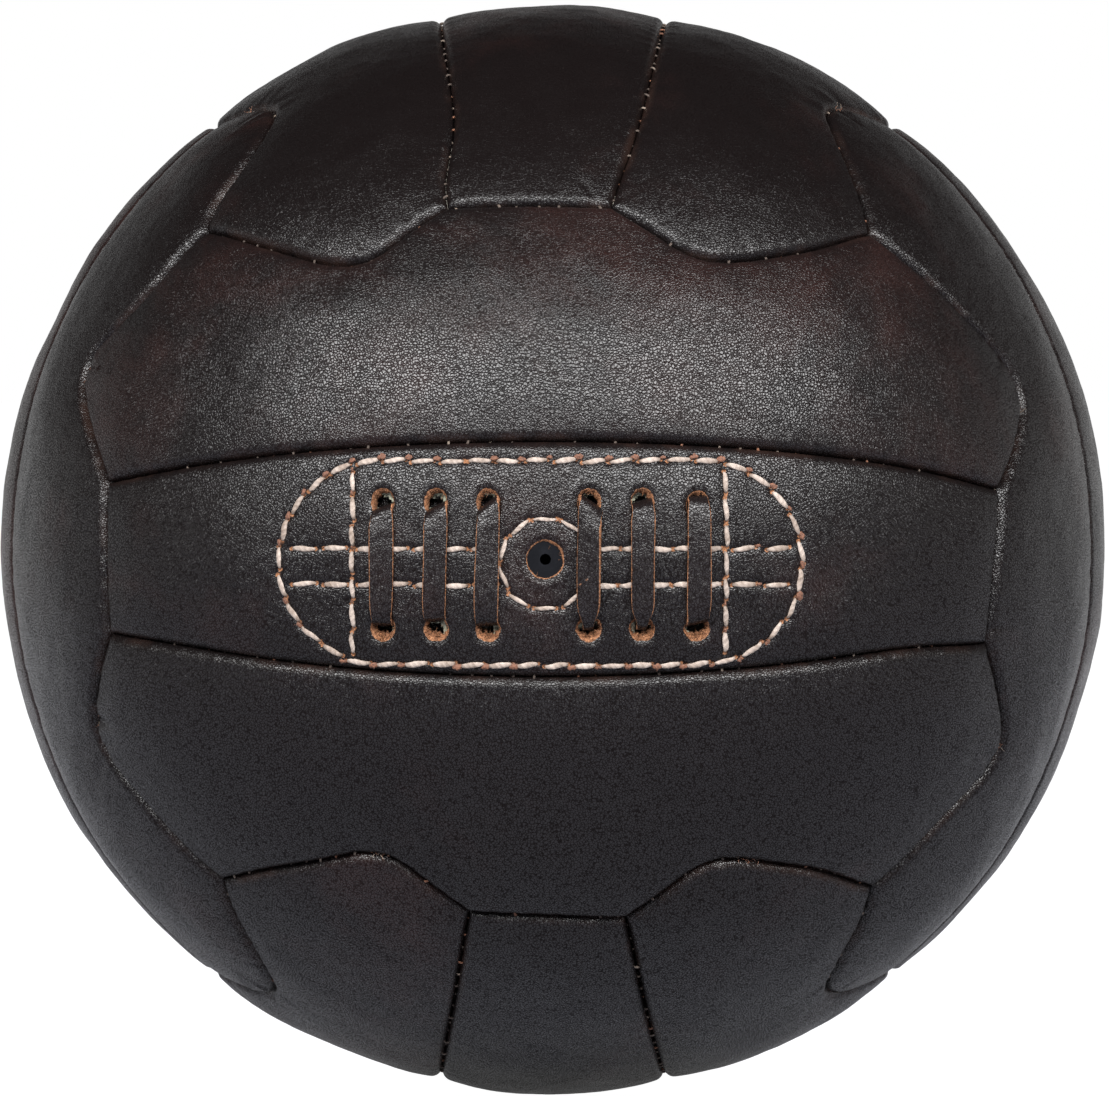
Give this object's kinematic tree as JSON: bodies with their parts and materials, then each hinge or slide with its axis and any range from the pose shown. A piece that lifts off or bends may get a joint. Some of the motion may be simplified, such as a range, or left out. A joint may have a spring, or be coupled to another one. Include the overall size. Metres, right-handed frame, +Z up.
{
  "type": "medicine ball",
  "caption": "Small hand-sewn leather medicine ball: strip panels in three-strip faces, a laced and stitched patch, and a rubber needle valve in its middle.",
  "frame": {"origin": "the ball's centre", "axes": "+Z up; -Y out of the lacing patch along the needle valve's axis; +X along the patch, to the right as seen from the patch's side"},
  "size_m": [0.23, 0.2316, 0.23],
  "materials": {
    "leather": "oiled dark-brown full-grain leather, fine grain, satin",
    "canvas": "plain-woven undyed canvas",
    "seam_thread": "waxed brown linen thread",
    "patch_thread": "waxed cream linen thread",
    "lace": "dark-brown leather thong with raw tan edges",
    "bladder_rubber": "matt black moulded rubber",
    "valve_rubber": "dark grey moulded rubber",
    "washer": "undyed leather ring",
    "felt": "pressed wool felt"
  },
  "bodies": {
    "root": {"back_lower_lining": "canvas", "back_lower_panel": "leather", "back_middle_lining": "canvas", "back_middle_panel": "leather", "back_upper_lining": "canvas", "back_upper_panel": "leather", "bladder": "bladder_rubber", "bottom_left_lining": "canvas", "bottom_left_panel": "leather", "bottom_middle_lining": "canvas", "bottom_middle_panel": "leather", "bottom_right_lining": "canvas", "bottom_right_panel": "leather", "edge_seam_threads": "seam_thread", "front_lace_lining": "canvas", "front_lace_panel": "leather", "front_lower_lining": "canvas", "front_lower_panel": "leather", "front_upper_lining": "canvas", "front_upper_panel": "leather", "lace": "lace", "lace_backing_patch": "canvas", "left_back_lining": "canvas", "left_back_panel": "leather", "left_bar_stitches": "patch_thread", "left_front_lining": "canvas", "left_front_panel": "leather", "left_middle_lining": "canvas", "left_middle_panel": "leather", "lower_row_stitches": "patch_thread", "outline_stitches": "patch_thread", "padding_back_half": "felt", "padding_front_half": "felt", "right_back_lining": "canvas", "right_back_panel": "leather", "right_bar_stitches": "patch_thread", "right_front_lining": "canvas", "right_front_panel": "leather", "right_middle_lining": "canvas", "right_middle_panel": "leather", "strip_seam_threads": "seam_thread", "top_left_lining": "canvas", "top_left_panel": "leather", "top_middle_lining": "canvas", "top_middle_panel": "leather", "top_right_lining": "canvas", "top_right_panel": "leather", "upper_row_stitches": "patch_thread", "valve_base_patch": "bladder_rubber", "valve_housing": "valve_rubber", "valve_plug": "valve_rubber", "valve_ring_stitches": "patch_thread", "valve_washer": "washer"}
  },
  "joints": []
}
